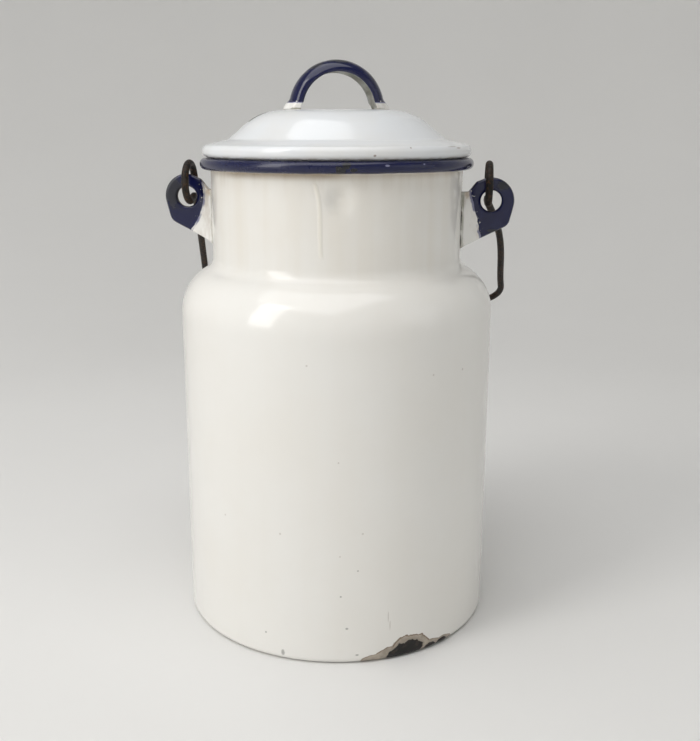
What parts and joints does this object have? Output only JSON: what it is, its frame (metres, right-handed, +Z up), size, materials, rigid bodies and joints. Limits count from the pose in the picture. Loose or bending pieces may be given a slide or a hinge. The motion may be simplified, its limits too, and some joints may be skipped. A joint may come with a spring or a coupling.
{
  "type": "enamel milk pail",
  "caption": "White enamelled milk can with a stepped neck, blue rolled rim, lift-off domed lid with strap handle, and a wire bail with wooden grip linked in two side ears.",
  "frame": {"origin": "centre of the base, on the can's axis, in the plane that the foot ring stands on", "axes": "+Z up along the can's axis, ears along +X and -X, bail hanging towards +Y"},
  "size_m": [0.1476, 0.1499, 0.2308],
  "materials": {
    "white_enamel": "gloss vitreous enamel on sheet steel, blue on the rim",
    "blue_enamel": "gloss cobalt enamel over a white root",
    "bail_steel": "old rusted steel wire",
    "grip_wood": "turned beech, worn"
  },
  "bodies": {
    "can": {"can_body": "white_enamel", "ear_right": "blue_enamel", "ear_left": "blue_enamel"},
    "bail": {"bail_wire": "bail_steel"},
    "grip": {"bail_grip": "grip_wood"},
    "lid": {"lid_dome": "white_enamel", "lid_collar": "white_enamel", "lid_handle": "blue_enamel"}
  },
  "joints": [
    {"name": "bail_swing", "type": "hinge", "parent": "can", "child": "bail", "pos_m": [0, 0, 0.18245], "axis": [1, 0, 0], "range_deg": [0, 258.3]},
    {"name": "grip_spin", "type": "hinge", "parent": "bail", "child": "grip", "pos_m": [0, 0.0751, 0.12125], "axis": [1, 0, 0], "continuous": true},
    {"name": "lid_lift", "type": "slide", "parent": "can", "child": "lid", "axis": [0, 0, 1], "range_m": [0, 0.1]}
  ]
}
